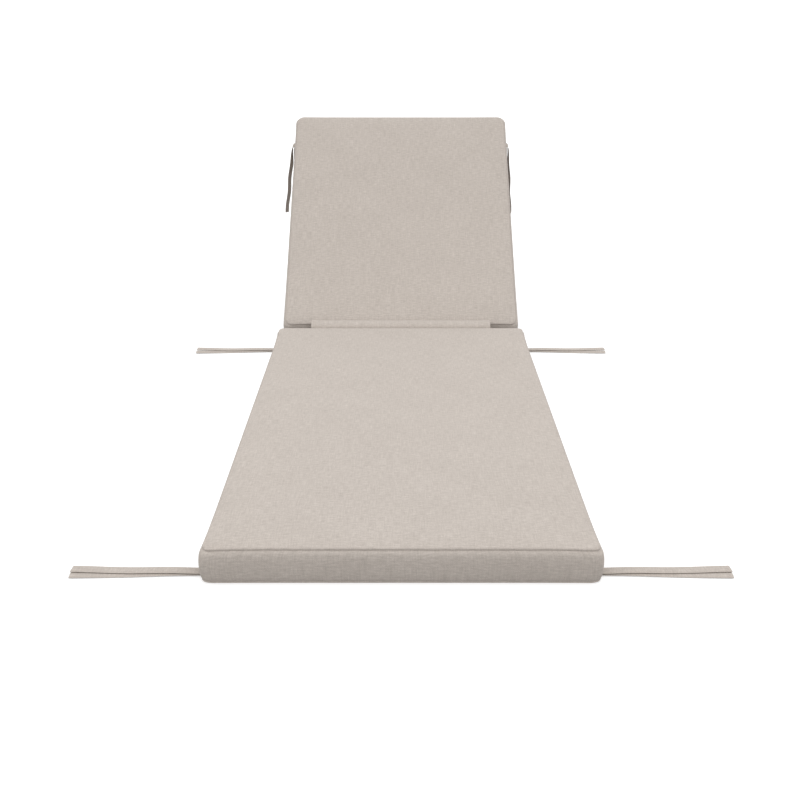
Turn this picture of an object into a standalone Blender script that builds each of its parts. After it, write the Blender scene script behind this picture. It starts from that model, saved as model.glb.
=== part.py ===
"""A sun lounger cushion in two box sections, a long seat and a shorter raised back.

Each section is one filled solid: a flat underside, a boxing that bulges between two
seams, a crowned top panel, and sides that draw in between the corners. A flap of the
same cloth bridges the gap between the sections, and six pairs of flat ties are sewn
into the lower seam. X runs across, Y from foot to head, Z up, in metres. The origin
is the middle of the seat's underside.
"""

import math
from collections import namedtuple

import bmesh
import bpy
from mathutils import Matrix, Vector

MM = 0.001

# The two sections. Widths and lengths are across the fullest part of the boxing at the
# corners. Between the corners the sides and the ends draw in. Foot_dip is how far the top
# seam dips at the two corners of the foot end.
Section = namedtuple("Section", "name width length side_draw end_draw foot_dip")
SEAT = Section("seat_cushion", 567.5 * MM, 1163 * MM, 4.2 * MM, 1.0 * MM, 2.2 * MM)
BACK = Section("back_cushion", 550 * MM, 679 * MM, 1.0 * MM, 1.0 * MM, 0.4 * MM)
BACK_LEAN = math.radians(39.2)
CORNER_RADIUS = 18 * MM
DRAW_REACH = 45 * MM
CORNER_DIP_REACH = 24 * MM
CROWN_RISE = 5 * MM
CROWN_REACH = 28 * MM
STATION_SPACING = 78 * MM
CORNER_STEPS = (0.0, 0.34, 0.68, 1.0)

# Height is above the underside. Set_in is how far inside the fullest outline the cloth lies.
SideLevel = namedtuple("SideLevel", "name height set_in")
SIDE_LEVELS = (
    SideLevel("edge of the flat underside", 0.0 * MM, 4.6 * MM),
    SideLevel("lower seam", 1.8 * MM, 3.4 * MM),
    SideLevel("foot of the boxing", 6.5 * MM, 1.8 * MM),
    SideLevel("low boxing", 16.0 * MM, 0.5 * MM),
    SideLevel("middle of the boxing", 28.0 * MM, 0.0 * MM),
    SideLevel("high boxing", 39.0 * MM, 0.8 * MM),
    SideLevel("head of the boxing", 47.0 * MM, 3.2 * MM),
    SideLevel("top seam", 50.0 * MM, 6.4 * MM),
    SideLevel("edge of the top panel", 52.8 * MM, 7.6 * MM),
)
LOWER_SEAM = SIDE_LEVELS[1]
TOP_SEAM = SIDE_LEVELS[-2]

# The back section's top seam stands this far behind and below the seat's.
HINGE_GAP = 48 * MM
HINGE_DROP = 1.4 * MM

# The flap that bridges the gap, as an arch between the two top seams.
FLAP_WIDTH = 410 * MM
FLAP_RISE = 13.3 * MM
FLAP_THICKNESS = 2 * MM
FLAP_OFF_SEAM = 1.85 * MM
FLAP_CELLS_ACROSS = 12
FLAP_CELLS_ALONG = 14

# The ties are flat straps. Two are sewn in together at each place.
TIE_WIDTH = 19 * MM
TIE_LENGTH = 187 * MM
TIE_THICKNESS = 1.6 * MM
TIE_CELLS = 16
TIE_CLEARANCE = 0.3 * MM
TIE_FROM_FOOT = 34.5 * MM
TIE_FROM_HINGE = 15 * MM
TIE_FROM_HEAD = 58 * MM
TIE_STACK = 2.1 * MM

# Side is -1 at the left and 1 at the right, seen from the foot. Turn is in plan, towards
# the head; wave is the height of its ripple. Layer 0 is the lower strap of a pair.
SeatTie = namedtuple("SeatTie", "name side end layer turn_deg wave")
SEAT_TIES = (
    SeatTie("tie_foot_left_a", -1, "foot", 0, -2.7, 0.5 * MM),
    SeatTie("tie_foot_left_b", -1, "foot", 1, 1.6, 0.6 * MM),
    SeatTie("tie_foot_right_a", 1, "foot", 0, -2.8, 0.5 * MM),
    SeatTie("tie_foot_right_b", 1, "foot", 1, 1.7, 0.6 * MM),
    SeatTie("tie_hinge_left_a", -1, "hinge", 0, -4.4, 0.5 * MM),
    SeatTie("tie_hinge_left_b", -1, "hinge", 1, 1.2, 0.6 * MM),
    SeatTie("tie_hinge_right_a", 1, "hinge", 0, -4.3, 0.5 * MM),
    SeatTie("tie_hinge_right_b", 1, "hinge", 1, 1.3, 0.6 * MM),
)

# A back tie leaves the seam sideways, bends over and hangs. Splay is its lean away from
# upright, twist turns its flat side towards the foot, and wave is its sideways ripple.
BackTie = namedtuple("BackTie", "name side layer bend_radius splay_deg twist_deg wave")
BACK_TIES = (
    BackTie("tie_back_left_a", -1, 0, 9 * MM, 6.5, 24, 1.0 * MM),
    BackTie("tie_back_left_b", -1, 1, 5 * MM, 0.5, 10, 0.6 * MM),
    BackTie("tie_back_right_a", 1, 0, 7 * MM, 3.5, 14, 1.0 * MM),
    BackTie("tie_back_right_b", 1, 1, 4 * MM, 0.0, 8, 0.6 * MM),
)

CLOTH_SRGB = (200, 190, 180)
CLOTH_ROUGHNESS = 0.9


def linear(value):
    """One sRGB channel, 0 to 255, as the linear value that a shader takes."""
    share = value / 255
    return share / 12.92 if share <= 0.04045 else ((share + 0.055) / 1.055) ** 2.4


def clear_scene():
    for obj in list(bpy.data.objects):
        bpy.data.objects.remove(obj, do_unlink=True)


def cloth_material(name, shade=1.0):
    material = bpy.data.materials.new(name)
    material.use_nodes = True
    shader = material.node_tree.nodes["Principled BSDF"]
    colour = [linear(value) * shade for value in CLOTH_SRGB]
    shader.inputs["Base Color"].default_value = (*colour, 1.0)
    shader.inputs["Roughness"].default_value = CLOTH_ROUGHNESS
    shader.inputs["Metallic"].default_value = 0.0
    return material


def add_object(name, mesh, material, collection):
    mesh.materials.append(material)
    mesh.shade_smooth()
    obj = bpy.data.objects.new(name, mesh)
    collection.objects.link(obj)
    return obj


def drawn_in(amount, from_corner):
    """How far a side has drawn in, at this distance from its nearest corner."""
    return amount * (1 - math.exp(-max(from_corner, 0.0) / DRAW_REACH))


def stations(length):
    """Places along a side of a section: close together round the corners, wide between."""
    half = length / 2
    corner = [half - CORNER_RADIUS * step for step in CORNER_STEPS]
    straight = length - 2 * CORNER_RADIUS
    cells = round(straight / STATION_SPACING)
    middle = [-straight / 2 + straight * i / cells for i in range(1, cells)]
    return [-place for place in corner[1:]] + middle + corner[:0:-1]


def rounded_corner(x, y, section):
    """Moves a point of a rectangle so that its square corners become round ones."""
    across = abs(x) - (section.width / 2 - CORNER_RADIUS)
    along = abs(y) - (section.length / 2 - CORNER_RADIUS)
    if across <= 0 or along <= 0:
        return x, y
    u, v = across / CORNER_RADIUS, along / CORNER_RADIUS
    new_across = across * math.sqrt(1 - v * v / 2)
    new_along = along * math.sqrt(1 - u * u / 2)
    return (
        math.copysign(abs(x) - across + new_across, x),
        math.copysign(abs(y) - along + new_along, y),
    )


def on_section(point, section):
    """The place on the cushion of a point of the box, whose Z counts the side levels."""
    level = SIDE_LEVELS[round(point.z)]
    half_width, half_length = section.width / 2, section.length / 2
    from_side, from_end = half_width - abs(point.x), half_length - abs(point.y)
    x, y = rounded_corner(point.x, point.y, section)
    x *= 1 - level.set_in / half_width
    y *= 1 - level.set_in / half_length
    x *= 1 - drawn_in(section.side_draw, from_end) / half_width
    y *= 1 - drawn_in(section.end_draw, from_side) / half_length
    height = level.height
    if height > SIDE_LEVELS[-1].height / 2 and point.y < 0:
        height -= section.foot_dip * math.exp(-max(from_side, from_end) / CORNER_DIP_REACH)
    if level is SIDE_LEVELS[-1]:
        height += CROWN_RISE * (1 - math.exp(-min(from_side, from_end) / CROWN_REACH))
    return Vector((x, y, height))


def cushion_section(section, material, collection):
    """A box cushion, cut from a cube and eased into shape, with its underside on Z = 0."""
    top = len(SIDE_LEVELS) - 1
    bm = bmesh.new()
    bmesh.ops.create_cube(bm, size=1.0)
    bmesh.ops.scale(bm, vec=(section.width, section.length, top), verts=bm.verts)
    bmesh.ops.translate(bm, vec=(0, 0, top / 2), verts=bm.verts)
    cuts = [((x, 0, 0), (1, 0, 0)) for x in stations(section.width)]
    cuts += [((0, y, 0), (0, 1, 0)) for y in stations(section.length)]
    cuts += [((0, 0, level), (0, 0, 1)) for level in range(1, top)]
    for place, normal in cuts:
        everything = bm.verts[:] + bm.edges[:] + bm.faces[:]
        bmesh.ops.bisect_plane(bm, geom=everything, plane_co=place, plane_no=normal, dist=1e-7)
    for vert in bm.verts:
        vert.co = on_section(vert.co, section)
    underside = [face for face in bm.faces if max(vert.co.z for vert in face.verts) == 0]
    bmesh.ops.dissolve_faces(bm, faces=underside)
    bmesh.ops.recalc_face_normals(bm, faces=bm.faces)
    mesh = bpy.data.meshes.new(section.name)
    bm.to_mesh(mesh)
    bm.free()
    return add_object(section.name, mesh, material, collection)


def strip(name, cells_across, cells_along, place, thickness, material, collection):
    """A sheet of cloth. Place gives the point at u and v, each from 0 to 1, on its middle."""
    bpy.ops.mesh.primitive_grid_add(
        x_subdivisions=cells_across, y_subdivisions=cells_along, size=1.0
    )
    obj = bpy.context.object
    obj.name = obj.data.name = name
    for vert in obj.data.vertices:
        vert.co = place(vert.co.x + 0.5, vert.co.y + 0.5)
    obj.data.materials.append(material)
    obj.data.shade_smooth()
    for other in obj.users_collection:
        other.objects.unlink(obj)
    collection.objects.link(obj)
    solidify = obj.modifiers.new("cloth thickness", "SOLIDIFY")
    solidify.thickness = thickness
    solidify.offset = 0.0
    return obj


def back_placement():
    """The back section's matrix: its underside leans, and its lower top seam is at the gap."""
    seat_seam = Vector((0, SEAT.length / 2 - TOP_SEAM.set_in - SEAT.end_draw, TOP_SEAM.height))
    back_seam = seat_seam + Vector((0, HINGE_GAP, -HINGE_DROP))
    turn = Matrix.Rotation(BACK_LEAN, 4, "X")
    own_seam = Vector((0, TOP_SEAM.set_in + BACK.end_draw - BACK.length / 2, TOP_SEAM.height))
    return Matrix.Translation(back_seam - turn @ own_seam) @ turn


def hinge_flap(material, collection):
    """The flap arches from the seat's rear top seam to the back's lower top seam."""
    back = back_placement()

    def end_seam(section, x):
        draw = drawn_in(section.end_draw, section.width / 2 - abs(x))
        return section.length / 2 - TOP_SEAM.set_in - draw

    def place(u, v):
        x = (u - 0.5) * FLAP_WIDTH
        start = Vector((x, end_seam(SEAT, x) + FLAP_OFF_SEAM, TOP_SEAM.height))
        end = back @ Vector((x, -end_seam(BACK, x), TOP_SEAM.height))
        end -= Vector((0, FLAP_OFF_SEAM, 0))
        middle, half = (start + end) / 2, (end - start) / 2
        rise = Vector((0, 0, FLAP_RISE * math.sin(math.pi * v)))
        return middle - half * math.cos(math.pi * v) + rise

    cells = FLAP_CELLS_ACROSS, FLAP_CELLS_ALONG
    return strip("hinge_flap", *cells, place, FLAP_THICKNESS, material, collection)


def side_at(height):
    """How far inside the fullest outline the boxing's cloth lies at this height."""
    for low, high in zip(SIDE_LEVELS, SIDE_LEVELS[1:]):
        if height <= high.height:
            share = (height - low.height) / (high.height - low.height)
            return low.set_in + share * (high.set_in - low.set_in)
    return SIDE_LEVELS[-1].set_in


def outline_at(from_end, set_in, section):
    """Half of the section's width at this distance from one end, at a level's set_in."""
    half = section.width / 2
    x, _ = rounded_corner(half, section.length / 2 - from_end, section)
    return x * (1 - set_in / half) * (1 - drawn_in(section.side_draw, from_end) / half)


def seat_tie(tie, material, collection):
    """A strap that lies flat on the resting surface and runs out sideways."""
    from_end = TIE_FROM_FOOT if tie.end == "foot" else TIE_FROM_HINGE
    towards = -1 if tie.end == "foot" else 1
    middle = TIE_CLEARANCE + TIE_THICKNESS / 2 + tie.wave + tie.layer * TIE_STACK
    set_in = side_at(middle + TIE_THICKNESS / 2)
    turn = math.radians(tie.turn_deg)
    start_x = outline_at(CORNER_RADIUS, set_in, SEAT)
    start_x += TIE_CLEARANCE + TIE_WIDTH / 2 * abs(math.sin(turn))
    start_y = towards * (SEAT.length / 2 - from_end)
    out = Vector((tie.side * math.cos(turn), math.sin(turn), 0))
    across = Vector((-tie.side * math.sin(turn), math.cos(turn), 0))

    def place(u, v):
        ripple = tie.wave * math.sin(2.5 * math.pi * u) * min(1.0, 5 * u)
        point = Vector((tie.side * start_x, start_y, middle + ripple))
        return point + out * (TIE_LENGTH * u) + across * (TIE_WIDTH * (v - 0.5))

    return strip(tie.name, TIE_CELLS, 1, place, TIE_THICKNESS, material, collection)


def hanging_path(tie, root):
    """Points and directions down the middle of a back tie: out, over and down."""
    splay = math.radians(tie.splay_deg)
    down = Vector((tie.side * math.sin(splay), 0, -math.cos(splay)))
    out = Vector((tie.side, 0, 0))
    bend = out.angle(down)
    normal = Vector((0, tie.side, 0))
    lead = 3 * MM
    bent = tie.bend_radius * bend

    def at(distance):
        if distance <= lead:
            return root + out * distance, out
        angle = min((distance - lead) / tie.bend_radius, bend)
        turned = Matrix.Rotation(angle, 3, normal)
        centre = root + out * lead + Vector((0, 0, -tie.bend_radius))
        point = centre + turned @ Vector((0, 0, tie.bend_radius))
        heading = turned @ out
        return point + heading * max(0.0, distance - lead - bent), heading

    return at


def back_tie(tie, material, collection):
    """A strap sewn into the back section's lower seam near its top end, and hanging."""
    back = back_placement()
    height = LOWER_SEAM.height + (1 - 2 * tie.layer) * TIE_STACK / 2
    set_in = side_at(height)
    root_x = outline_at(TIE_FROM_HEAD, set_in, BACK) + 3 * TIE_CLEARANCE
    root = back @ Vector((tie.side * root_x, BACK.length / 2 - TIE_FROM_HEAD, height))
    at = hanging_path(tie, root)
    seam_along = (back.to_3x3() @ Vector((0, 1, 0))).normalized()
    hanging_across = Vector((0, 1, 0))
    twist = math.radians(tie.twist_deg)

    def place(u, v):
        distance = TIE_LENGTH * u
        point, heading = at(distance)
        share = min(1.0, distance / (0.3 * TIE_LENGTH))
        across = seam_along.lerp(hanging_across, share)
        across = (across - heading * across.dot(heading)).normalized()
        across = Matrix.Rotation(-tie.side * twist * share, 3, heading) @ across
        ripple = tie.wave * math.sin(5 * math.pi * u) * share
        return point + Vector((tie.side * ripple, 0, 0)) + across * (TIE_WIDTH * (v - 0.5))

    return strip(tie.name, TIE_CELLS, 1, place, TIE_THICKNESS, material, collection)


def main():
    clear_scene()
    collection = bpy.data.collections.new("sun_lounger_cushion")
    bpy.context.scene.collection.children.link(collection)
    seat_cloth = cloth_material("seat cloth")
    back_cloth = cloth_material("back cloth")
    flap_cloth = cloth_material("flap cloth", 0.96)
    tie_cloth = cloth_material("tie cloth", 0.98)

    cushion_section(SEAT, seat_cloth, collection)
    back = cushion_section(BACK, back_cloth, collection)
    placement = back_placement()
    back.location = placement.to_translation()
    back.rotation_euler = placement.to_euler()
    hinge_flap(flap_cloth, collection)
    for tie in SEAT_TIES:
        seat_tie(tie, tie_cloth, collection)
    for tie in BACK_TIES:
        back_tie(tie, tie_cloth, collection)


main()
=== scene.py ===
# %% [markdown]
# A sun lounger cushion has a long seat section and a shorter back section, both sewn as boxes
# from one heathered outdoor cloth. This lesson builds its cloth forms over measured solids:
# first the weave, then the two filled sections, the hinge flap, the ties and their stitches.

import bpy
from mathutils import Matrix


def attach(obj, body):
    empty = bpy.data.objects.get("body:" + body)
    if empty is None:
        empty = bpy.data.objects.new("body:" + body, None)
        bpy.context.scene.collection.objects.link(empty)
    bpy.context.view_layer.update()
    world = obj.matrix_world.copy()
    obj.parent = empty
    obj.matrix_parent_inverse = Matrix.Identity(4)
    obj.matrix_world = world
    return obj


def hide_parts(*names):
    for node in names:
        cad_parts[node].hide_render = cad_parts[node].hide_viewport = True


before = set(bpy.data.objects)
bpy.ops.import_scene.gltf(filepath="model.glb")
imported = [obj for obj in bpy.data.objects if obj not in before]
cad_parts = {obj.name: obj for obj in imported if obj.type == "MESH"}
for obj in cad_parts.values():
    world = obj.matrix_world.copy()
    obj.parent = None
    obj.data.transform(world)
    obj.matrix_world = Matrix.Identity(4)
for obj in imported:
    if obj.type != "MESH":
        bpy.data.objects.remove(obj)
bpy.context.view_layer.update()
print("measured solids:", ", ".join(sorted(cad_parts)))

# %% [markdown]
# Sizes are in metres and named once. The cushion lies with X across, Y from foot to head and
# Z up, and the origin is the middle of the seat's underside. The two sections share one shape
# rule, so a small table holds what differs between them.

# %% Sizes of the cushion
import math
from collections import namedtuple

import bmesh
import bpy
from mathutils import Matrix, Vector, noise

MM = 0.001
Section = namedtuple("Section", "name width length side_draw end_draw foot_dip under_crown")
SEAT = Section("seat_cushion", 567.5 * MM, 1163 * MM, 4.2 * MM, 1 * MM, 2.2 * MM, 0)
BACK = Section("back_cushion", 550 * MM, 679 * MM, 1 * MM, 1 * MM, 0.4 * MM, 4 * MM)
BACK_LEAN = math.radians(39.2)
CORNER_RADIUS = 18 * MM
DRAW_REACH = 45 * MM
DIP_REACH = 24 * MM
CROWN_RISE = 5 * MM
CROWN_REACH = 28 * MM
TOP_SEAM_HEIGHT = 50 * MM
TOP_SEAM_SET_IN = 6.4 * MM
HINGE_GAP = 48 * MM
HINGE_DROP = 1.4 * MM
print(f"seat {SEAT.width:.3f} x {SEAT.length:.3f} m, back {BACK.width:.3f} x {BACK.length:.3f} m")

# %% [markdown]
# Shader colours are linear, but colours picked from a dye card are sRGB, so one function
# turns a hex value into the linear colour that a socket takes. A second helper adds a node,
# sets its properties and inputs, and links any input that is given as a socket.

# %% Helpers for colours and nodes


def linear(hex_colour):
    channels = [int(hex_colour[i : i + 2], 16) / 255 for i in (1, 3, 5)]
    return [c / 12.92 if c <= 0.04045 else ((c + 0.055) / 1.055) ** 2.4 for c in channels] + [1.0]


def add_node(tree, kind, inputs=None, **settings):
    node = tree.nodes.new(kind)
    for name, value in settings.items():
        setattr(node, name, value)
    for key, value in (inputs or {}).items():
        if isinstance(value, bpy.types.NodeSocket):
            tree.links.new(value, node.inputs[key])
        else:
            node.inputs[key].default_value = value
    return node


print("a mid beige in linear light:", [round(c, 3) for c in linear("#C2B6AA")])

# %% [markdown]
# The cloth is a plain weave of solution-dyed yarn: light and dark fibres are spun together, so
# each thread changes shade along its length. Seen from a few steps away that gives long soft
# streaks along the warp, shorter ones along the weft, and a fine grain where threads cross.
# Real threads are about 0.5 mm, too fine for this picture, so the crossings are drawn at
# 1.6 mm. The pattern reads a UV map in metres, so it follows the cloth round every edge.

# %% Woven outdoor cloth
THREAD = 1.6 * MM
WARP_SLUB = (1.9 * MM, 28 * MM)
WEFT_SLUB = (12 * MM, 2.6 * MM)
GRAIN = 2.0 * MM
MOTTLE = 90 * MM
YARN_SHADES = ("#A9A098", "#B9B0A8", "#C9C0B8")


def woven_cloth(name, dark, mid, light, turned=False):
    """A cloth whose warp runs along V, or along U if it is turned."""
    material = bpy.data.materials.new(name)
    material.use_nodes = True
    tree = material.node_tree
    shader = tree.nodes["Principled BSDF"]
    uv = add_node(tree, "ShaderNodeUVMap", uv_map="cloth").outputs["UV"]
    if turned:
        parts = add_node(tree, "ShaderNodeSeparateXYZ", {"Vector": uv})
        uv = add_node(
            tree, "ShaderNodeCombineXYZ", {"X": parts.outputs["Y"], "Y": parts.outputs["X"]}
        ).outputs["Vector"]

    def scaled(size_u, size_v):
        return add_node(
            tree,
            "ShaderNodeVectorMath",
            {0: uv, 1: (1 / size_u, 1 / size_v, 1.0)},
            operation="MULTIPLY",
        ).outputs["Vector"]

    def streaks(size_u, size_v, detail):
        return add_node(
            tree,
            "ShaderNodeTexNoise",
            {"Vector": scaled(size_u, size_v), "Scale": 1.0, "Detail": detail},
        ).outputs["Fac"]

    def times(a, b):
        return add_node(tree, "ShaderNodeMath", {0: a, 1: b}, operation="MULTIPLY").outputs[0]

    def plus(a, b):
        return add_node(tree, "ShaderNodeMath", {0: a, 1: b}, operation="ADD").outputs[0]

    threads = add_node(tree, "ShaderNodeSeparateXYZ", {"Vector": scaled(THREAD, THREAD)})
    waves = [
        add_node(
            tree, "ShaderNodeMath", {0: times(threads.outputs[axis], math.pi)}, operation="SINE"
        ).outputs[0]
        for axis in ("X", "Y")
    ]
    crossing = times(waves[0], waves[1])
    warp = streaks(*WARP_SLUB, 2.0)
    weft = streaks(*WEFT_SLUB, 3.0)
    grain = streaks(GRAIN, GRAIN, 2.0)
    mottle = streaks(MOTTLE, MOTTLE, 2.0)
    shade = plus(times(warp, 0.5), times(weft, 0.8))
    shade = plus(shade, times(grain, 0.6))
    shade = plus(shade, times(mottle, 0.16))
    shade = plus(shade, times(crossing, 0.03))
    ramp = add_node(tree, "ShaderNodeValToRGB", {"Fac": plus(shade, -0.53)})
    ramp.color_ramp.elements[0].position = 0.18
    ramp.color_ramp.elements[0].color = linear(dark)
    ramp.color_ramp.elements[1].position = 0.82
    ramp.color_ramp.elements[1].color = linear(light)
    middle = ramp.color_ramp.elements.new(0.5)
    middle.color = linear(mid)
    height = plus(times(crossing, 0.3), plus(times(warp, 0.5), times(weft, 0.4)))
    bump = add_node(
        tree, "ShaderNodeBump", {"Height": height, "Strength": 0.5, "Distance": 0.3 * MM}
    )
    tree.links.new(ramp.outputs["Color"], shader.inputs["Base Color"])
    tree.links.new(bump.outputs["Normal"], shader.inputs["Normal"])
    # A matt yarn scatters light widely, and its loose fibres give a faint soft rim.
    shader.inputs["Roughness"].default_value = 0.92
    shader.inputs["Specular IOR Level"].default_value = 0.25
    shader.inputs["Sheen Weight"].default_value = 0.08
    shader.inputs["Sheen Roughness"].default_value = 0.6
    return material


cushion_cloth = woven_cloth("solution-dyed woven cloth", *YARN_SHADES)
tie_cloth = woven_cloth("folded tie cloth", *YARN_SHADES, turned=True)
print("cloth materials:", cushion_cloth.name, "and", tie_cloth.name)

# %% [markdown]
# A filled box section is crowned on top, bulges between its two seams and draws in between its
# corners. One rule places any point: its height and how far inside the fullest outline it lies.
# A profile table then steps down the side, with a small lip and valley at each seam, because
# plain seams pull the cloth in and the filling pushes it out on either side.

# %% The shape rule of a filled section
Step = namedtuple("Step", "height set_in")
SIDE_PROFILE = [
    Step(52.8 * MM, 7.6 * MM),
    Step(52.2 * MM, 6.6 * MM),
    Step(51.3 * MM, 6.0 * MM),
    Step(50.3 * MM, 5.7 * MM),
    Step(49.5 * MM, 6.1 * MM),
    Step(49.0 * MM, 7.1 * MM),
    Step(48.5 * MM, 6.2 * MM),
    Step(47.9 * MM, 5.2 * MM),
    Step(46.9 * MM, 4.0 * MM),
    Step(45.6 * MM, 2.8 * MM),
    Step(43.0 * MM, 1.5 * MM),
    Step(39.0 * MM, 0.7 * MM),
    Step(34.0 * MM, 0.15 * MM),
    Step(28.0 * MM, 0.0 * MM),
    Step(22.0 * MM, 0.1 * MM),
    Step(16.0 * MM, 0.5 * MM),
    Step(11.0 * MM, 1.0 * MM),
    Step(7.0 * MM, 1.7 * MM),
    Step(4.6 * MM, 2.4 * MM),
    Step(3.2 * MM, 3.1 * MM),
    Step(2.4 * MM, 4.2 * MM),
    Step(1.8 * MM, 3.2 * MM),
    Step(1.0 * MM, 3.1 * MM),
    Step(0.3 * MM, 3.9 * MM),
    Step(0.0 * MM, 5.2 * MM),
]


BOXING_MIDDLE = 26 * MM


def drawn_in(amount, from_corner):
    return amount * (1 - math.exp(-max(from_corner, 0.0) / DRAW_REACH))


def rounded_corner(x, y, section):
    across = abs(x) - (section.width / 2 - CORNER_RADIUS)
    along = abs(y) - (section.length / 2 - CORNER_RADIUS)
    if across <= 0 or along <= 0:
        return x, y
    u, v = across / CORNER_RADIUS, along / CORNER_RADIUS
    new_across = across * math.sqrt(1 - v * v / 2)
    new_along = along * math.sqrt(1 - u * u / 2)
    return (
        math.copysign(abs(x) - across + new_across, x),
        math.copysign(abs(y) - along + new_along, y),
    )


def on_section(x, y, step, section, crown=0.0):
    """The place on a section of a point of its plan, at one step of the side profile."""
    half_width, half_length = section.width / 2, section.length / 2
    from_side, from_end = half_width - abs(x), half_length - abs(y)
    to_edge = min(from_side, from_end)
    new_x, new_y = rounded_corner(x, y, section)
    new_x *= 1 - step.set_in / half_width
    new_y *= 1 - step.set_in / half_length
    new_x *= 1 - drawn_in(section.side_draw, from_end) / half_width
    new_y *= 1 - drawn_in(section.end_draw, from_side) / half_length
    height = step.height + crown * (1 - math.exp(-to_edge / CROWN_REACH))
    if height > BOXING_MIDDLE and y < 0:
        height -= section.foot_dip * math.exp(-max(from_side, from_end) / DIP_REACH)
    return Vector((new_x, new_y, height))


print("steps down the side:", len(SIDE_PROFILE))

# %% [markdown]
# The filling of a used cushion is never quite even. Smooth noise moves the panels by under a
# millimetre over a hand's width, and the cloth near a seam gathers into faint puckers about
# 22 mm apart. Both read a point's place, so they are the same on every run.

# %% Uneven filling and seam puckers
LUMP_SIZE = 130 * MM
LUMP_HEIGHT = 1.1 * MM
LUMP_EASE = 40 * MM
PUCKER_SIZE = 22 * MM
PUCKER_DEPTH = 0.35 * MM
PUCKER_REACH = 7 * MM


def lump(point, seed):
    spot = Vector((point.x, point.y, 0)) / LUMP_SIZE + Vector((0, 0, seed))
    small = Vector((point.x, point.y, 0)) / (LUMP_SIZE / 3) + Vector((0, 0, seed + 5))
    return LUMP_HEIGHT * (noise.noise(spot) + 0.3 * noise.noise(small))


def pucker(along, seed):
    return PUCKER_DEPTH * noise.noise(Vector((along / PUCKER_SIZE, seed, 0)))


print(f"filling {LUMP_HEIGHT * 1000:.1f} mm uneven, puckers {PUCKER_DEPTH * 1000:.2f} mm deep")

# %% [markdown]
# The mesh is a grid for the top panel, rings of faces down the side and a grid for the
# underside, all joined along their edges. Cells are short round the corners and longer between.
# Each face corner gets a UV in metres: panels use their plan, and the boxing uses the distance
# round the section and down it, as if the strip were laid flat on the cutting table.

# %% Build a section as a closed mesh
CELL = 12 * MM
CORNER_STEPS_MM = (0, 1.2, 3, 5.5, 8.5, 12, 16, 21, 28, 37)
UNDER_EASE = 30 * MM


def stations(length):
    half = length / 2
    corner = [half - step * MM for step in CORNER_STEPS_MM]
    straight = 2 * corner[-1]
    cells = round(straight / CELL)
    middle = [straight * (i / cells - 0.5) for i in range(1, cells)]
    return [-place for place in corner] + middle + corner[::-1]


def section_mesh(section):
    xs, ys = stations(section.width), stations(section.length)
    nx, ny = len(xs), len(ys)
    last = SIDE_PROFILE[-1]
    rim = [(i, 0) for i in range(nx)] + [(nx - 1, j) for j in range(1, ny)]
    rim += [(i, ny - 1) for i in range(nx - 2, -1, -1)] + [(0, j) for j in range(ny - 2, 0, -1)]
    verts, top, under, rings = [], {}, {}, []
    for j, y in enumerate(ys):
        for i, x in enumerate(xs):
            inside = 0 < i < nx - 1 and 0 < j < ny - 1
            point = on_section(x, y, SIDE_PROFILE[0], section, CROWN_RISE)
            edge = min(section.width / 2 - abs(x), section.length / 2 - abs(y))
            if inside:
                point.z += lump(point, 1.0) * (1 - math.exp(-edge / LUMP_EASE))
            top[i, j] = len(verts)
            verts.append(point)
    rings.append([top[key] for key in rim])
    run = [0.0]
    for a, b in zip(rings[0], rings[0][1:] + rings[0][:1]):
        run.append(run[-1] + (verts[b] - verts[a]).length)
    for step in SIDE_PROFILE[1:]:
        near_seam = math.exp(-(((step.height - TOP_SEAM_HEIGHT) / PUCKER_REACH) ** 2))
        ring = []
        for place, (i, j) in zip(run, rim):
            moved = Step(step.height, step.set_in + pucker(place, 3.0) * near_seam)
            ring.append(len(verts))
            verts.append(on_section(xs[i], ys[j], moved, section))
        rings.append(ring)
    for number, key in enumerate(rim):
        under[key] = rings[-1][number]
    for j in range(1, ny - 1):
        for i in range(1, nx - 1):
            under[i, j] = len(verts)
            point = on_section(xs[i], ys[j], last, section)
            edge = min(section.width / 2 - abs(xs[i]), section.length / 2 - abs(ys[j]))
            point.z -= section.under_crown * (1 - math.exp(-edge / UNDER_EASE))
            verts.append(point)
    faces, uvs = [], []
    for j in range(ny - 1):
        for i in range(nx - 1):
            corners = [(i, j), (i + 1, j), (i + 1, j + 1), (i, j + 1)]
            for grid, order in ((top, corners), (under, corners[::-1])):
                face = [grid[c] for c in order]
                faces.append(face)
                uvs.append([(verts[v].x, verts[v].y) for v in face])
    down = 0.0
    for upper, lower in zip(rings, rings[1:]):
        drop = (verts[upper[5]] - verts[lower[5]]).length
        count = len(upper)
        for k in range(count):
            n = (k + 1) % count
            faces.append([upper[k], lower[k], lower[n], upper[n]])
            a, b = run[k], run[k + 1]
            uvs.append([(a, -down), (a, -down - drop), (b, -down - drop), (b, -down)])
        down += drop
    mesh = bpy.data.meshes.new(section.name + "_cloth")
    mesh.from_pydata(verts, [], faces)
    layer = mesh.uv_layers.new(name="cloth")
    flat = [value for face in uvs for uv in face for value in uv]
    layer.data.foreach_set("uv", flat)
    mesh.update()
    return mesh


print("stations across the seat:", len(stations(SEAT.width)))
print("stations along the seat:", len(stations(SEAT.length)))

# %% [markdown]
# A finished piece keeps its object at the origin, so its place goes into its mesh. One
# Subdivision Surface level rounds the cells, and the result is turned to a plain mesh.

# %% Finish a piece


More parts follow.
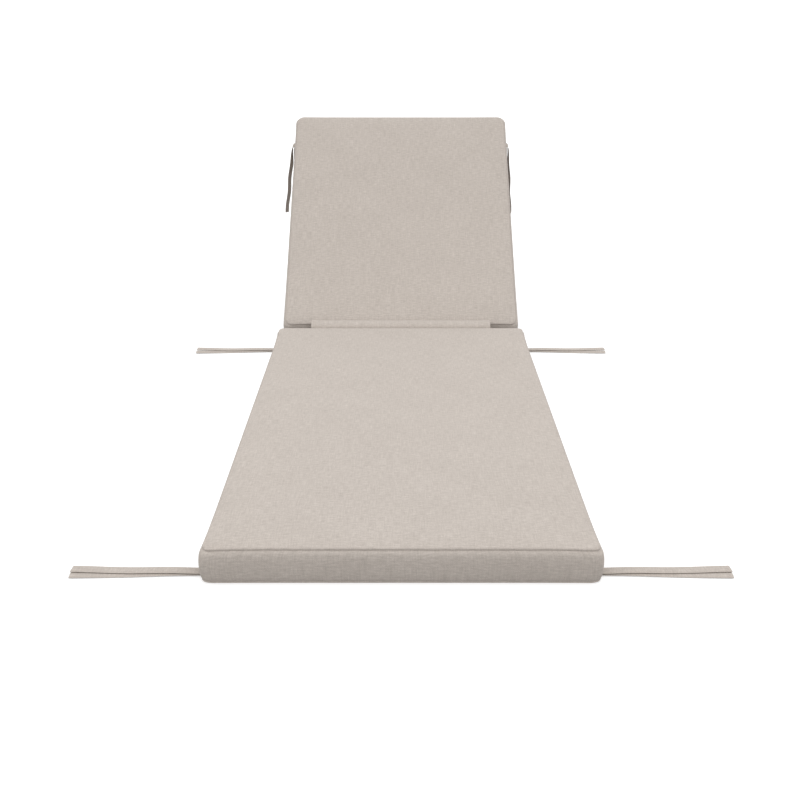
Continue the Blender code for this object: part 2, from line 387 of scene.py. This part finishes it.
def finish_piece(name, mesh, material, place=None, levels=1):
    if place is not None:
        mesh.transform(place)
    obj = bpy.data.objects.new(name, mesh)
    bpy.context.scene.collection.objects.link(obj)
    mesh.materials.append(material)
    if levels:
        modifier = obj.modifiers.new("rounding", "SUBSURF")
        modifier.levels = modifier.render_levels = levels
        modifier.boundary_smooth = "PRESERVE_CORNERS"
        bpy.context.view_layer.update()
        graph = bpy.context.evaluated_depsgraph_get()
        plain = bpy.data.meshes.new_from_object(obj.evaluated_get(graph))
        obj.modifiers.remove(modifier)
        obj.data = plain
        bpy.data.meshes.remove(mesh)
    obj.data.name = name
    obj.data.shade_smooth()
    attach(obj, "root")
    return obj


# %% [markdown]
# The seat is the longer section. It rests on its underside, so that panel stays flat.

# %% The seat section
seat = finish_piece("seat_section", section_mesh(SEAT), cushion_cloth)
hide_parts("seat_cushion")
print("seat section:", len(seat.data.polygons), "faces")

# %% [markdown]
# The back is the same shape rule at another size. Nothing presses on its rear panel, so that
# one is crowned a little too. It leans, and its lower top seam stands behind the seat's seam
# by the width of the hinge.

# %% The back section


def back_placement():
    seam = SEAT.length / 2 - TOP_SEAM_SET_IN - SEAT.end_draw
    at = Vector((0, seam + HINGE_GAP, TOP_SEAM_HEIGHT - HINGE_DROP))
    turn = Matrix.Rotation(BACK_LEAN, 4, "X")
    own = Vector((0, TOP_SEAM_SET_IN + BACK.end_draw - BACK.length / 2, TOP_SEAM_HEIGHT))
    return Matrix.Translation(at - turn @ own) @ turn


BACK_PLACE = back_placement()
back = finish_piece("back_section", section_mesh(BACK), cushion_cloth, BACK_PLACE)
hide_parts("back_cushion")
print("back section:", len(back.data.polygons), "faces, leaning", round(math.degrees(BACK_LEAN), 1))

# %% [markdown]
# A strip of cloth is cut flat, folded at its edges and sewn down. Its mesh is swept along a
# path: at each station a flat ring with rounded edges, thicker where the hem is folded. Ends
# are closed with the same quads, so the strip is a solid sheet with no open edge.

# %% Sweep a strip of cloth
STRIP_CELLS = 10
Stop = namedtuple("Stop", "point heading across")


def strip_mesh(name, stops, widths, thickness_at):
    """Stops lead along the strip. Thickness_at gives the thickness at u and v, from 0 to 1."""
    bm = bmesh.new()
    layer = bm.loops.layers.uv.new("cloth")
    cells = STRIP_CELLS
    shares = [0.5 - 0.5 * math.cos(math.pi * k / cells) for k in range(cells + 1)]
    rows, run = [], [0.0]
    for a, b in zip(stops, stops[1:]):
        run.append(run[-1] + (b.point - a.point).length)
    for number, (stop, width) in enumerate(zip(stops, widths)):
        normal = stop.heading.cross(stop.across).normalized()
        u = run[number] / run[-1]
        sides = []
        for side in (1, -1):
            line = []
            for share in shares:
                edge = math.sqrt(max(0.0, 1 - abs(2 * share - 1) ** 8))
                lift = side * normal * (thickness_at(u, share) / 2) * (0.25 + 0.75 * edge)
                line.append(bm.verts.new(stop.point + stop.across * (width * (share - 0.5)) + lift))
            sides.append(line)
        rows.append(sides[0] + sides[1][::-1])
    count = len(rows[0])
    wide = max(widths)
    across_uv = [s * wide for s in shares] + [2 * wide - s * wide for s in shares[::-1]]
    for r in range(len(rows) - 1):
        for k in range(count):
            n = (k + 1) % count
            face = bm.faces.new([rows[r][k], rows[r][n], rows[r + 1][n], rows[r + 1][k]])
            v1 = across_uv[k]
            v2 = across_uv[n] if n else across_uv[k] + thickness_at(0.5, 0)
            u1, u2 = run[r], run[r + 1]
            for loop, uv in zip(face.loops, ((u1, v1), (u1, v2), (u2, v2), (u2, v1))):
                loop[layer].uv = uv
    for row, flip in ((rows[0], False), (rows[-1], True)):
        for k in range(cells):
            quad = [row[k], row[k + 1], row[count - 2 - k], row[count - 1 - k]]
            face = bm.faces.new(quad if flip else quad[::-1])
            for loop in face.loops:
                loop[layer].uv = (loop.vert.co.x, loop.vert.co.z)
    bmesh.ops.recalc_face_normals(bm, faces=bm.faces)
    mesh = bpy.data.meshes.new(name)
    bm.to_mesh(mesh)
    bm.free()
    return mesh


print("a strip has", 2 * (STRIP_CELLS + 1), "points round it")

# %% [markdown]
# The hinge flap bridges the two sections. It is sewn into the seat's rear seam and the back's
# lower seam, and its slack stands up as a soft rounded ridge. Its two short ends are folded
# under and stitched 9 mm in, which makes them a little thicker.

# %% The hinge flap
FLAP_WIDTH = 410 * MM
FLAP_RISE = 13.3 * MM
FLAP_THICKNESS = 2.0 * MM
FLAP_OFF_SEAM = 1.85 * MM
FLAP_HEM = 11 * MM
FLAP_FOLD = 0.9 * MM
FLAP_STITCH_INSET = 9 * MM
FLAP_STITCH_DENT = 0.35 * MM
FLAP_END_STEPS_MM = (0, 0.8, 2.5, 5, 7.5, 9, 10.4, 11.6, 14)
FLAP_CELLS = 46
FLAP_ROWS = 28


def end_seam(section, x):
    draw = drawn_in(section.end_draw, section.width / 2 - abs(x))
    return section.length / 2 - TOP_SEAM_SET_IN - draw


def flap_point(x, v):
    start = Vector((x, end_seam(SEAT, x) + FLAP_OFF_SEAM, TOP_SEAM_HEIGHT))
    end = BACK_PLACE @ Vector((x, -end_seam(BACK, x), TOP_SEAM_HEIGHT))
    end -= Vector((0, FLAP_OFF_SEAM, 0))
    middle, half = (start + end) / 2, (end - start) / 2
    slack = 1 + 0.05 * noise.noise(Vector((x / (60 * MM), v * 2, 4.0)))
    rise = Vector((0, 0, FLAP_RISE * slack * math.sin(math.pi * v)))
    return middle - half * math.cos(math.pi * v) + rise


def flap_mesh():
    """A sheet of two skins over the arch, closed round its edges."""
    bm = bmesh.new()
    layer = bm.loops.layers.uv.new("cloth")
    half = FLAP_WIDTH / 2
    ends = [half - step * MM for step in FLAP_END_STEPS_MM]
    inner = [2 * ends[-1] * (i / FLAP_CELLS - 0.5) for i in range(1, FLAP_CELLS)]
    xs = [-e for e in ends] + inner + ends[::-1]
    vs = [i / FLAP_ROWS for i in range(FLAP_ROWS + 1)]
    skins = []
    for side in (1, -1):
        skin = []
        for x in xs:
            line = []
            for v in vs:
                ahead = flap_point(x, min(v + 0.01, 1)) - flap_point(x, max(v - 0.01, 0))
                normal = Vector((1, 0, 0)).cross(ahead).normalized()
                inside_end = half - abs(x)
                folded = FLAP_FOLD if inside_end < FLAP_HEM else 0.0
                edge = min(1.0, 0.35 + inside_end / (1.2 * MM))
                thick = (FLAP_THICKNESS + folded) * edge
                on_stitches = abs(inside_end - FLAP_STITCH_INSET) < 0.5 * MM
                dent = FLAP_STITCH_DENT if on_stitches else 0.0
                line.append(bm.verts.new(flap_point(x, v) + side * normal * (thick / 2 - dent)))
            skin.append(line)
        skins.append(skin)
    arc = [0.0]
    for v1, v2 in zip(vs, vs[1:]):
        arc.append(arc[-1] + (flap_point(0, v2) - flap_point(0, v1)).length)

    def add_face(corners, uvs):
        face = bm.faces.new(corners)
        for loop, uv in zip(face.loops, uvs):
            loop[layer].uv = uv

    nx, nv = len(xs), len(vs)
    for i in range(nx - 1):
        for j in range(nv - 1):
            places = ((i, j), (i + 1, j), (i + 1, j + 1), (i, j + 1))
            uvs = [(xs[a], arc[b]) for a, b in places]
            for skin in skins:
                quad = [skin[a][b] for a, b in places]
                add_face(quad, uvs)
    for i in range(nx - 1):
        for j in (0, nv - 1):
            quad = [skins[0][i][j], skins[0][i + 1][j], skins[1][i + 1][j], skins[1][i][j]]
            add_face(quad, [(xs[i], 0), (xs[i + 1], 0), (xs[i + 1], 0.002), (xs[i], 0.002)])
    for j in range(nv - 1):
        for i in (0, nx - 1):
            quad = [skins[0][i][j], skins[0][i][j + 1], skins[1][i][j + 1], skins[1][i][j]]
            add_face(quad, [(0, arc[j]), (0, arc[j + 1]), (0.002, arc[j + 1]), (0.002, arc[j])])
    bmesh.ops.recalc_face_normals(bm, faces=bm.faces)
    mesh = bpy.data.meshes.new("flap_cloth")
    bm.to_mesh(mesh)
    bm.free()
    return mesh, arc[-1]


flap_cloth, flap_length = flap_mesh()
flap = finish_piece("hinge_flap_cloth", flap_cloth, cushion_cloth)
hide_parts("hinge_flap")
print(f"flap {FLAP_WIDTH * 1000:.0f} mm wide, {flap_length * 1000:.0f} mm of cloth over the hinge")

# %% [markdown]
# The ties are narrow strips folded lengthwise, sewn in pairs into the lower seam. The pairs at
# the foot and at the hinge lie flat and fan out a little; those on the back leave the seam
# sideways, bend over and hang. Tables give each tie its own small turn, because free ends
# never lie quite alike.

# %% Tables of the ties
TIE_WIDTH = 19 * MM
TIE_LENGTH = 187 * MM
TIE_THICKNESS = 1.6 * MM
TIE_CLEARANCE = 0.3 * MM
TIE_FROM_FOOT = 34.5 * MM
TIE_FROM_HINGE = 15 * MM
TIE_FROM_HEAD = 58 * MM
TIE_STACK = 2.1 * MM
TIE_LEAD = 3 * MM
TIE_TWISTS_OVER = 0.3 * TIE_LENGTH
LOWER_SEAM_HEIGHT = 1.8 * MM
SeatTie = namedtuple("SeatTie", "name side end layer turn_deg wave")
SEAT_TIES = (
    SeatTie("tie_foot_left_a", -1, "foot", 0, -2.7, 0.5 * MM),
    SeatTie("tie_foot_left_b", -1, "foot", 1, 1.6, 0.6 * MM),
    SeatTie("tie_foot_right_a", 1, "foot", 0, -2.8, 0.5 * MM),
    SeatTie("tie_foot_right_b", 1, "foot", 1, 1.7, 0.6 * MM),
    SeatTie("tie_hinge_left_a", -1, "hinge", 0, -4.4, 0.5 * MM),
    SeatTie("tie_hinge_left_b", -1, "hinge", 1, 1.2, 0.6 * MM),
    SeatTie("tie_hinge_right_a", 1, "hinge", 0, -4.3, 0.5 * MM),
    SeatTie("tie_hinge_right_b", 1, "hinge", 1, 1.3, 0.6 * MM),
)
BackTie = namedtuple("BackTie", "name side layer bend_radius splay_deg twist_deg wave")
BACK_TIES = (
    BackTie("tie_back_left_a", -1, 0, 9 * MM, 6.5, 24, 1.0 * MM),
    BackTie("tie_back_left_b", -1, 1, 5 * MM, 0.5, 10, 0.6 * MM),
    BackTie("tie_back_right_a", 1, 0, 7 * MM, 3.5, 14, 1.0 * MM),
    BackTie("tie_back_right_b", 1, 1, 4 * MM, 0.0, 8, 0.6 * MM),
)
print(len(SEAT_TIES) + len(BACK_TIES), "ties")

# %% [markdown]
# A tie's path is a list of stops, each with a point, the way the strip runs and the way across
# it. On the floor the path is nearly straight. On the back it follows a quarter bend and then
# a plumb line, and the strip turns from lying along the seam to hanging edge-on.

# %% Paths of the ties
STOPS = 44
PART_SIDE_LEVELS = ((0, 4.6), (1.8, 3.4), (6.5, 1.8), (16, 0.5), (28, 0))


def side_at(height):
    for (low, low_in), (high, high_in) in zip(PART_SIDE_LEVELS, PART_SIDE_LEVELS[1:]):
        if height <= high * MM:
            share = (height - low * MM) / ((high - low) * MM)
            return (low_in + share * (high_in - low_in)) * MM
    return 0.0


def outline_at(from_end, set_in, section):
    half = section.width / 2
    x, _ = rounded_corner(half, section.length / 2 - from_end, section)
    return x * (1 - set_in / half) * (1 - drawn_in(section.side_draw, from_end) / half)


def seat_tie_stops(tie):
    from_end = TIE_FROM_FOOT if tie.end == "foot" else TIE_FROM_HINGE
    towards = -1 if tie.end == "foot" else 1
    middle = TIE_CLEARANCE + TIE_THICKNESS / 2 + tie.wave + tie.layer * TIE_STACK
    turn = math.radians(tie.turn_deg)
    start_x = outline_at(CORNER_RADIUS, side_at(middle + TIE_THICKNESS / 2), SEAT)
    start_x += TIE_CLEARANCE + TIE_WIDTH / 2 * abs(math.sin(turn))
    start_y = towards * (SEAT.length / 2 - from_end)
    out = Vector((tie.side * math.cos(turn), math.sin(turn), 0))
    across = Vector((-tie.side * math.sin(turn), math.cos(turn), 0))
    stops = []
    for k in range(STOPS + 1):
        u = k / STOPS
        ripple = tie.wave * math.sin(2.5 * math.pi * u) * min(1.0, 5 * u)
        point = Vector((tie.side * start_x, start_y, middle + ripple)) + out * (TIE_LENGTH * u)
        stops.append(Stop(point, out, across))
    return stops


def back_tie_stops(tie):
    height = LOWER_SEAM_HEIGHT + (1 - 2 * tie.layer) * TIE_STACK / 2
    root_x = outline_at(TIE_FROM_HEAD, side_at(height), BACK) + 3 * TIE_CLEARANCE
    root = BACK_PLACE @ Vector((tie.side * root_x, BACK.length / 2 - TIE_FROM_HEAD, height))
    splay, twist = math.radians(tie.splay_deg), math.radians(tie.twist_deg)
    down = Vector((tie.side * math.sin(splay), 0, -math.cos(splay)))
    out = Vector((tie.side, 0, 0))
    bend = out.angle(down)
    bent = tie.bend_radius * bend
    seam_along = (BACK_PLACE.to_3x3() @ Vector((0, 1, 0))).normalized()
    stops = []
    for k in range(STOPS + 1):
        distance = TIE_LENGTH * k / STOPS
        angle = min(max(0.0, distance - TIE_LEAD) / tie.bend_radius, bend)
        turned = Matrix.Rotation(angle, 3, Vector((0, tie.side, 0)))
        heading = turned @ out
        centre = root + out * min(TIE_LEAD, distance) + Vector((0, 0, -tie.bend_radius))
        point = centre + turned @ Vector((0, 0, tie.bend_radius))
        point += heading * max(0.0, distance - TIE_LEAD - bent)
        share = min(1.0, distance / TIE_TWISTS_OVER)
        across = seam_along.lerp(Vector((0, 1, 0)), share)
        across = (across - heading * across.dot(heading)).normalized()
        across = Matrix.Rotation(-tie.side * twist * share, 3, heading) @ across
        ripple = tie.wave * math.sin(5 * math.pi * k / STOPS) * share
        stops.append(Stop(point + Vector((tie.side * ripple, 0, 0)), heading, across))
    return stops


tie_stops = {tie.name: seat_tie_stops(tie) for tie in SEAT_TIES}
tie_stops.update({tie.name: back_tie_stops(tie) for tie in BACK_TIES})
lowest = min(stop.point.z for stops in tie_stops.values() for stop in stops)
print(f"lowest tie stop: {lowest * 1000:.2f} mm")

# %% [markdown]
# Each tie is a strip folded in on itself, so its long edges are soft and a line of stitches
# presses a shallow groove 2.5 mm inside them.

# %% The ties
STITCH_INSET = 2.5 * MM


def tie_thickness(u, share):
    from_edge = min(share, 1 - share) * TIE_WIDTH
    groove = 0.3 * math.exp(-(((from_edge - STITCH_INSET) / (0.8 * MM)) ** 2))
    end_fold = 0.12 * math.exp(-(((1 - u) * TIE_LENGTH / (6 * MM)) ** 2))
    return TIE_THICKNESS * (1 - groove + end_fold)


for name, stops in tie_stops.items():
    mesh = strip_mesh(name + "_cloth", stops, [TIE_WIDTH] * len(stops), tie_thickness)
    finish_piece(name + "_cloth", mesh, tie_cloth, levels=1)
    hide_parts(name)

# %% [markdown]
# Stitches repeat along a line, so Geometry Nodes place them. The tree turns a drawn line into
# a curve, steps along it by the stitch pitch, sets a small rounded thread piece at each step
# and turns it along the line. The tree ends in real mesh, because instances do not export.

# %% A tree that sews a line of stitches
STITCH_PITCH = 3.2 * MM
STITCH_LENGTH = 2.5 * MM
THREAD_RADIUS = 0.32 * MM


def sewing_thread():
    material = bpy.data.materials.new("bonded polyester thread")
    material.use_nodes = True
    tree = material.node_tree
    shader = tree.nodes["Principled BSDF"]
    place = add_node(tree, "ShaderNodeTexCoord").outputs["Object"]
    twist = add_node(tree, "ShaderNodeTexNoise", {"Vector": place, "Scale": 900.0, "Detail": 1.0})
    ramp = add_node(tree, "ShaderNodeValToRGB", {"Fac": twist.outputs["Fac"]})
    ramp.color_ramp.elements[0].color = linear("#A39686")
    ramp.color_ramp.elements[1].color = linear("#C9BEB0")
    tree.links.new(ramp.outputs["Color"], shader.inputs["Base Color"])
    # Bonded filament is smoother than the yarn, so it keeps a soft highlight.
    shader.inputs["Roughness"].default_value = 0.6
    return material


def stitch_tree():
    tree = bpy.data.node_groups.new("line of stitches", "GeometryNodeTree")
    tree.interface.new_socket("Geometry", in_out="INPUT", socket_type="NodeSocketGeometry")
    for name in ("Pitch", "Stitch Length", "Thread Radius"):
        tree.interface.new_socket(name, in_out="INPUT", socket_type="NodeSocketFloat")
    tree.interface.new_socket("Thread", in_out="INPUT", socket_type="NodeSocketMaterial")
    tree.interface.new_socket("Geometry", in_out="OUTPUT", socket_type="NodeSocketGeometry")
    given = add_node(tree, "NodeGroupInput").outputs
    line = add_node(tree, "GeometryNodeMeshToCurve", {"Mesh": given["Geometry"]})
    steps = add_node(
        tree,
        "GeometryNodeResampleCurve",
        {"Curve": line.outputs["Curve"], "Length": given["Pitch"]},
        mode="LENGTH",
    )
    half = add_node(
        tree, "ShaderNodeMath", {0: given["Stitch Length"], 1: 0.5}, operation="MULTIPLY"
    )
    size = add_node(
        tree,
        "ShaderNodeCombineXYZ",
        {"X": given["Thread Radius"], "Y": given["Thread Radius"], "Z": half.outputs[0]},
    )
    bead = add_node(
        tree, "GeometryNodeMeshUVSphere", {"Segments": 6, "Rings": 4, "Radius": 1.0}
    )
    stitch = add_node(
        tree,
        "GeometryNodeTransform",
        {"Geometry": bead.outputs["Mesh"], "Scale": size.outputs["Vector"]},
    )
    tangent = add_node(tree, "GeometryNodeInputTangent")
    along = add_node(
        tree, "FunctionNodeAlignRotationToVector", {"Vector": tangent.outputs["Tangent"]}, axis="Z"
    )
    placed = add_node(
        tree,
        "GeometryNodeInstanceOnPoints",
        {
            "Points": steps.outputs["Curve"],
            "Instance": stitch.outputs["Geometry"],
            "Rotation": along.outputs["Rotation"],
        },
    )
    real = add_node(
        tree, "GeometryNodeRealizeInstances", {"Geometry": placed.outputs["Instances"]}
    )
    threaded = add_node(
        tree,
        "GeometryNodeSetMaterial",
        {"Geometry": real.outputs["Geometry"], "Material": given["Thread"]},
    )
    out = add_node(tree, "NodeGroupOutput")
    tree.links.new(threaded.outputs["Geometry"], out.inputs["Geometry"])
    return tree


thread = sewing_thread()
STITCHES = stitch_tree()
print("stitch tree:", len(STITCHES.nodes), "nodes")

# %% [markdown]
# The lines to sew are short lists of points that lie on the cloth. Each tie has one line along
# each long edge, on both faces, and a line across its free end. The flap has one line beside
# each folded end.

# %% Sew the ties and the flap


def sew(name, lines):
    verts, edges = [], []
    for line in lines:
        first = len(verts)
        verts += line
        edges += [(k, k + 1) for k in range(first, len(verts) - 1)]
    mesh = bpy.data.meshes.new(name + "_line")
    mesh.from_pydata(verts, edges, [])
    obj = bpy.data.objects.new(name, mesh)
    bpy.context.scene.collection.objects.link(obj)
    modifier = obj.modifiers.new("stitches", "NODES")
    modifier.node_group = STITCHES
    values = {
        "Pitch": STITCH_PITCH,
        "Stitch Length": STITCH_LENGTH,
        "Thread Radius": THREAD_RADIUS,
        "Thread": thread,
    }
    for item in STITCHES.interface.items_tree:
        if item.in_out == "INPUT" and item.name in values:
            modifier[item.identifier] = values[item.name]
    bpy.context.view_layer.update()
    graph = bpy.context.evaluated_depsgraph_get()
    plain = bpy.data.meshes.new_from_object(obj.evaluated_get(graph))
    obj.modifiers.remove(modifier)
    obj.data = plain
    obj.data.name = name
    obj.data.shade_smooth()
    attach(obj, "root")
    return obj


def tie_lines(stops):
    lines = []
    lift = TIE_THICKNESS * 0.38
    inset = TIE_WIDTH / 2 - STITCH_INSET
    for face in (1, -1):
        for side in (1, -1):
            line = []
            for stop in stops[2:-1]:
                normal = stop.heading.cross(stop.across).normalized()
                line.append(stop.point + stop.across * (side * inset) + normal * (face * lift))
            lines.append(line)
        stop = stops[-1]
        normal = stop.heading.cross(stop.across).normalized()
        middle = stop.point - stop.heading * (5 * MM) + normal * (face * lift)
        lines.append([middle + stop.across * (inset * s) for s in (-0.7, 0, 0.7)])
    return lines


def flap_lines():
    lines = []
    for side in (1, -1):
        x = side * (FLAP_WIDTH / 2 - FLAP_STITCH_INSET)
        line = []
        for k in range(2, FLAP_ROWS - 1):
            v = k / FLAP_ROWS
            ahead = flap_point(x, v + 0.01) - flap_point(x, v - 0.01)
            normal = Vector((1, 0, 0)).cross(ahead).normalized()
            line.append(flap_point(x, v) + normal * (FLAP_THICKNESS / 2 + 0.15 * MM))
        lines.append(line)
    return lines


tie_stitches = {
    name: sew(name + "_stitches", tie_lines(stops)) for name, stops in tie_stops.items()
}
flap_stitches = sew("hinge_flap_stitches", flap_lines())
print("stitch faces on one tie:", len(tie_stitches["tie_foot_left_a"].data.polygons))

# %% [markdown]
# The ties lie or hang free, and the flap is held between two seams.

# %% [markdown]
# A plain pale floor runs past the picture on all sides, and it sends no diffuse light back up
# at the boxing. It has a faint broad mottle, so that it is not a flat colour.

# %% The studio floor


def studio_floor():
    material = bpy.data.materials.new("matt white studio floor")
    material.use_nodes = True
    tree = material.node_tree
    shader = tree.nodes["Principled BSDF"]
    place = add_node(tree, "ShaderNodeTexCoord").outputs["Object"]
    cloud = add_node(tree, "ShaderNodeTexNoise", {"Vector": place, "Scale": 0.8, "Detail": 2.0})
    ramp = add_node(tree, "ShaderNodeValToRGB", {"Fac": cloud.outputs["Fac"]})
    ramp.color_ramp.elements[0].color = linear("#E8E8E8")
    ramp.color_ramp.elements[1].color = linear("#EAEAEA")
    tree.links.new(ramp.outputs["Color"], shader.inputs["Base Color"])
    shader.inputs["Roughness"].default_value = 1.0
    shader.inputs["Specular IOR Level"].default_value = 0.0
    shader.inputs["Emission Color"].default_value = (1, 1, 1, 1)
    shader.inputs["Emission Strength"].default_value = 0.35
    return material


bpy.ops.mesh.primitive_grid_add(x_subdivisions=4, y_subdivisions=4, size=600.0)
floor = bpy.context.object
floor.name = "studio_floor"
floor.data.materials.append(studio_floor())
# Its light bounces only as far as the camera, like that of a sweep lit from far away.
floor.visible_diffuse = False
print("floor:", floor.dimensions.x, "m across")

# %% [markdown]
# Product pictures of cloth are often lit from a white dome, so the light comes from the whole
# sky and almost none from below. Here the world is that dome: white above the horizon and dim
# below it. A wide sun lamp leans a little towards the viewer and adds the last soft part.

# %% Soft studio light
SKY_STRENGTH = 1.17
GROUND_SHARE = 0.30
LIGHT_LEAN = math.radians(22)
lamp = bpy.data.lights.new("overhead softbox", "SUN")
lamp.energy = 0.12
lamp.angle = math.radians(80)
softbox = bpy.data.objects.new("overhead softbox", lamp)
softbox.location = (0, -0.6, 3)
softbox.rotation_euler = (LIGHT_LEAN, 0, 0)
bpy.context.scene.collection.objects.link(softbox)
world = bpy.data.worlds.new("white studio dome")
bpy.context.scene.world = world
world.use_nodes = True
background = world.node_tree.nodes["Background"]
direction = add_node(world.node_tree, "ShaderNodeTexCoord").outputs["Generated"]
height = add_node(world.node_tree, "ShaderNodeSeparateXYZ", {"Vector": direction}).outputs["Z"]
dome = add_node(world.node_tree, "ShaderNodeValToRGB", {"Fac": height})
dome.color_ramp.elements[0].position = 0.0
dome.color_ramp.elements[0].color = (GROUND_SHARE, GROUND_SHARE, GROUND_SHARE, 1)
dome.color_ramp.elements[1].position = 0.03
dome.color_ramp.elements[1].color = (1, 1, 1, 1)
world.node_tree.links.new(dome.outputs["Color"], background.inputs["Color"])
background.inputs["Strength"].default_value = SKY_STRENGTH
bpy.context.scene.view_settings.view_transform = "Standard"
bpy.context.scene.view_settings.look = "None"
print("light leans", round(math.degrees(LIGHT_LEAN)), "degrees")

# %% [markdown]
# The camera stands where the photograph's perspective puts it: 0.776 m up, about 1.5 m in
# front of the seat, looking down by 18.7 degrees through a 54 mm lens.

# %% Camera at the photograph's viewpoint
CAMERA_HEIGHT = 775.9 * MM
CAMERA_FROM_FRONT = 1494.8 * MM
CAMERA_PITCH = math.radians(18.7)
lens = bpy.data.cameras.new("camera")
lens.sensor_width = 36.0
lens.lens = 54.0
camera = bpy.data.objects.new("camera", lens)
front = -(SEAT.length / 2 - SEAT.end_draw)
camera.location = (-1.8 * MM, front - CAMERA_FROM_FRONT, CAMERA_HEIGHT)
camera.rotation_euler = (math.pi / 2 - CAMERA_PITCH, 0, 0)
bpy.context.scene.collection.objects.link(camera)
bpy.context.scene.camera = camera
print("camera at", [round(c, 3) for c in camera.location])
